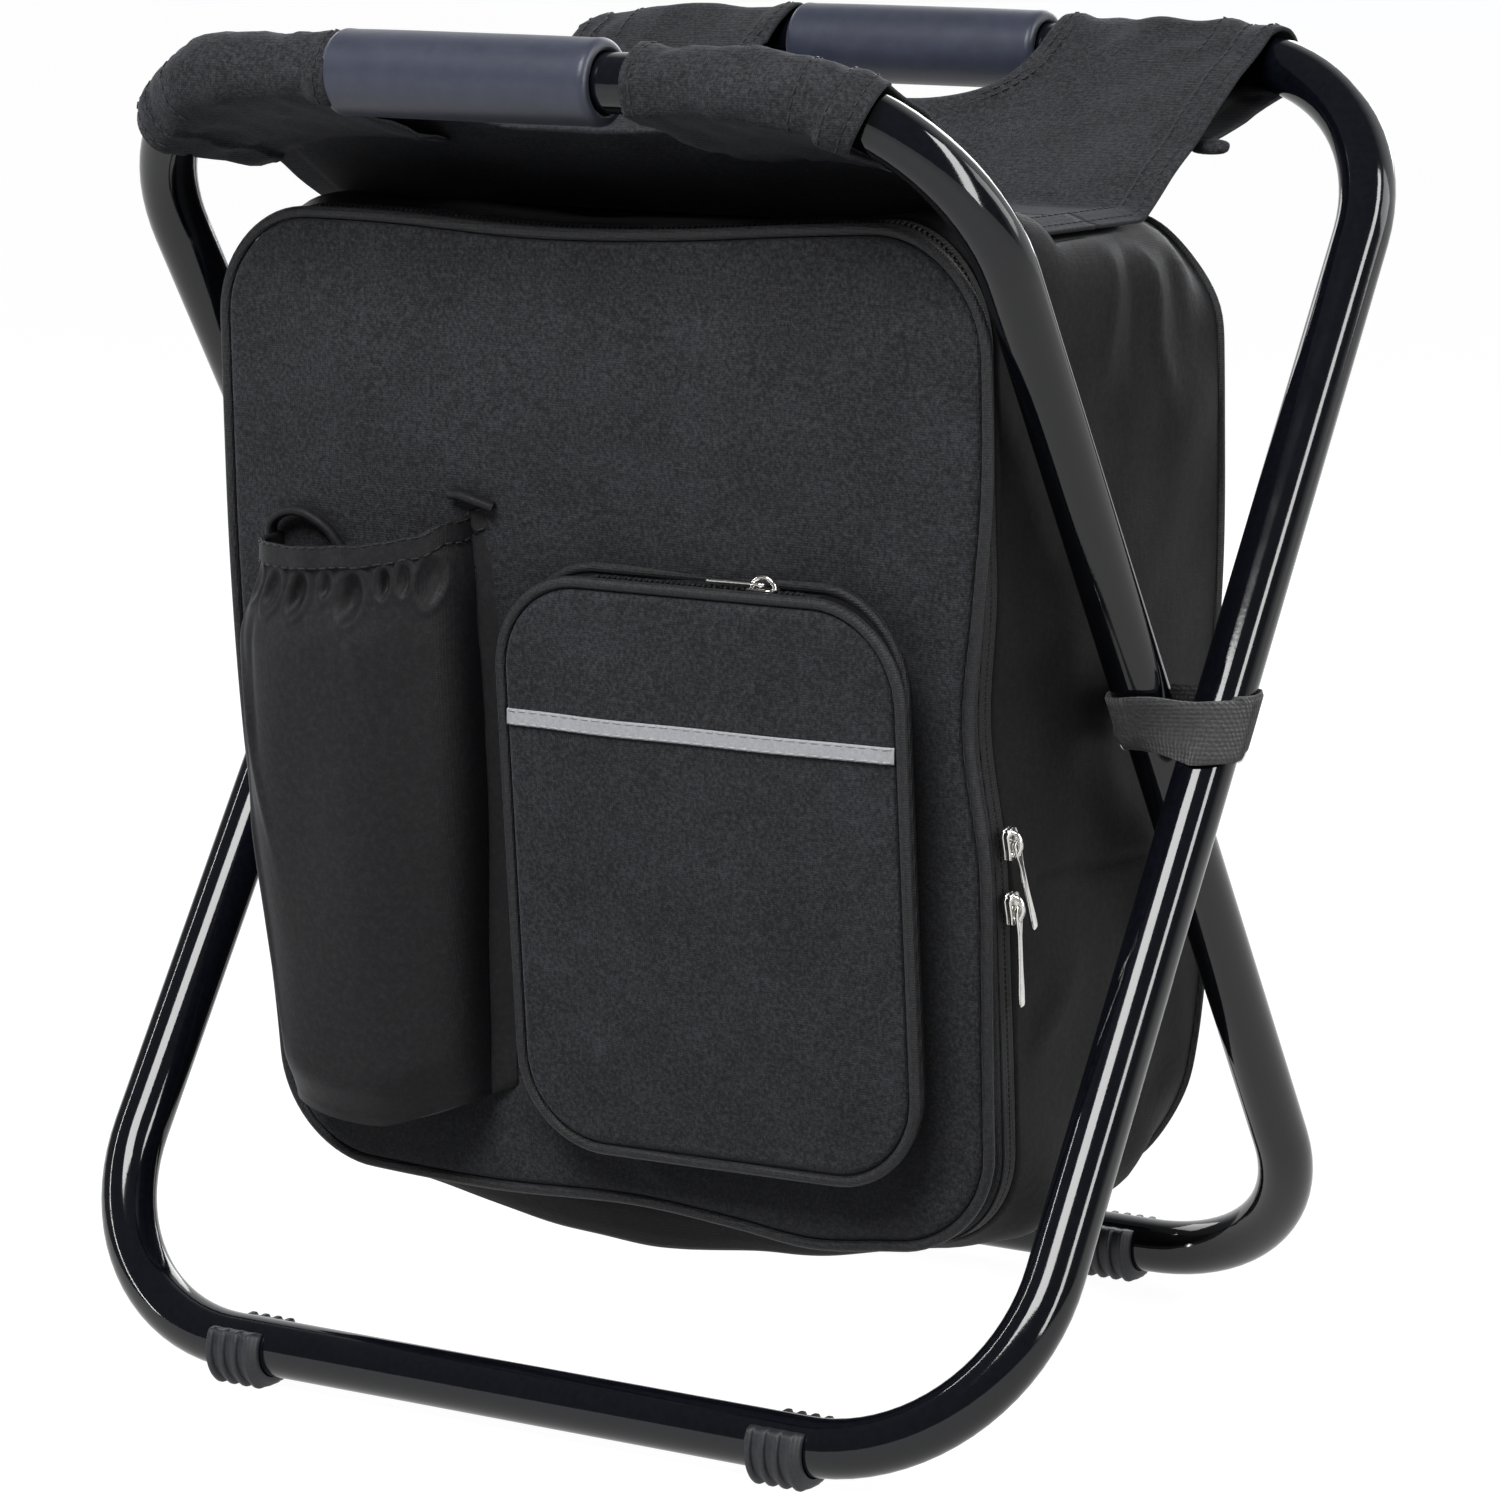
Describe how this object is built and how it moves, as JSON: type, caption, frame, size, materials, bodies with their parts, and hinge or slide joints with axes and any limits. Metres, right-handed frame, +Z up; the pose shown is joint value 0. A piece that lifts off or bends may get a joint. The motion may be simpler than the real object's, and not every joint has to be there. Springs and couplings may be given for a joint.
{
  "type": "folding cooler stool",
  "caption": "Folding camp stool: two crossed tube loops on a pivot carry a cloth seat and an insulated zip-open bag with a bottle pocket and a zipped pocket.",
  "frame": {"origin": "on the floor, below the pivot of the crossed frames", "axes": "+Z up, -Y to the front face with the pockets, +X to the right seen from the front"},
  "size_m": [0.3626, 0.2888, 0.4251],
  "materials": {
    "frame_paint": "gloss black powder coat",
    "steel": "nickel-plated, bright",
    "black_plastic": "satin black moulding",
    "grip_foam": "slate grey closed-cell foam",
    "cloth": "charcoal heathered polyester canvas",
    "nylon": "charcoal nylon with a slight sheen",
    "piping": "dark bound piping cord",
    "zipper_tape": "black woven tape with coil teeth",
    "white_foam": "white closed-cell foam sheet",
    "liner_film": "silver wipe-clean film",
    "reflective": "grey reflective ribbon",
    "webbing": "black woven webbing"
  },
  "bodies": {
    "bag": {"bag_shell": "nylon", "insulation_foam": "white_foam", "cooler_liner": "liner_film", "main_zipper_tape_bag": "zipper_tape", "back_piping": "piping", "seat_front_panel": "cloth", "seat_middle": "cloth", "seat_rear_panel": "cloth", "pivot_strap_left": "webbing", "pivot_strap_right": "webbing", "shoulder_pad_left": "cloth", "shoulder_pad_right": "cloth", "ladder_lock_left": "black_plastic", "ladder_lock_right": "black_plastic", "shoulder_web_left": "webbing", "shoulder_web_right": "webbing"},
    "inner_frame": {"inner_frame_tube": "frame_paint", "inner_frame_joiner": "steel", "front_grip": "grip_foam", "seat_sleeve_front_left": "cloth", "seat_sleeve_front_right": "cloth", "foot_clip_rear_left": "black_plastic", "foot_clip_rear_right": "black_plastic"},
    "outer_frame": {"outer_frame_tube": "frame_paint", "outer_frame_joiner": "steel", "rear_grip": "grip_foam", "seat_sleeve_rear_left": "cloth", "seat_sleeve_rear_right": "cloth", "foot_clip_front_left": "black_plastic", "foot_clip_front_right": "black_plastic", "pivot_rivet_left": "steel", "pivot_rivet_right": "steel", "pivot_washer_left": "black_plastic", "pivot_washer_right": "black_plastic"},
    "front_panel": {"front_panel_skin": "cloth", "front_panel_foam": "white_foam", "front_panel_liner": "liner_film", "front_piping": "piping", "main_zipper_tape_panel": "zipper_tape", "bottle_pocket": "nylon", "bottle_pocket_band": "nylon", "zip_pocket": "cloth", "zip_pocket_front_piping": "piping", "zip_pocket_rear_piping": "piping", "reflective_strip": "reflective", "pocket_zipper_tape": "zipper_tape"},
    "upper_slider": {"main_slider_upper": "steel"},
    "lower_slider": {"main_slider_lower": "steel"},
    "upper_pull": {"main_pull_upper": "steel"},
    "lower_pull": {"main_pull_lower": "steel"},
    "small_slider": {"pocket_slider": "steel"},
    "small_pull": {"pocket_pull": "steel"}
  },
  "joints": [
    {"name": "inner_fold", "type": "hinge", "parent": "bag", "child": "inner_frame", "pos_m": [0, 0, 0.212], "axis": [-1, 0, 0], "range_deg": [0, 27]},
    {"name": "outer_fold", "type": "hinge", "parent": "bag", "child": "outer_frame", "pos_m": [0, 0, 0.212], "axis": [1, 0, 0], "range_deg": [0, 27]},
    {"name": "panel_open", "type": "hinge", "parent": "bag", "child": "front_panel", "pos_m": [0, -0.05335, 0.057], "axis": [1, 0, 0], "range_deg": [0, 55]},
    {"name": "upper_zip", "type": "slide", "parent": "bag", "child": "upper_slider", "axis": [0, -0.0995, 0.995], "range_m": [0, 0.1]},
    {"name": "lower_zip", "type": "slide", "parent": "bag", "child": "lower_slider", "axis": [0, -0.0995, 0.995], "range_m": [-0.07, 0]},
    {"name": "upper_pull_lift", "type": "hinge", "parent": "upper_slider", "child": "upper_pull", "pos_m": [0.1366, -0.06684, 0.188], "axis": [0, -0.9009, -0.434], "range_deg": [0, 45]},
    {"name": "lower_pull_lift", "type": "hinge", "parent": "lower_slider", "child": "lower_pull", "pos_m": [0.1366, -0.06446, 0.16812], "axis": [0, -0.995, -0.0995], "range_deg": [0, 45]},
    {"name": "pocket_zip", "type": "slide", "parent": "front_panel", "child": "small_slider", "axis": [1, 0, 0], "range_m": [-0.055, 0.014]},
    {"name": "pocket_pull_lift", "type": "hinge", "parent": "small_slider", "child": "small_pull", "pos_m": [0.06663, -0.09492, 0.2622], "axis": [0, 1, 0], "range_deg": [0, 100]}
  ],
  "couplings": [
    {"joint": "outer_fold", "follows": "inner_fold", "ratio": 1}
  ]
}
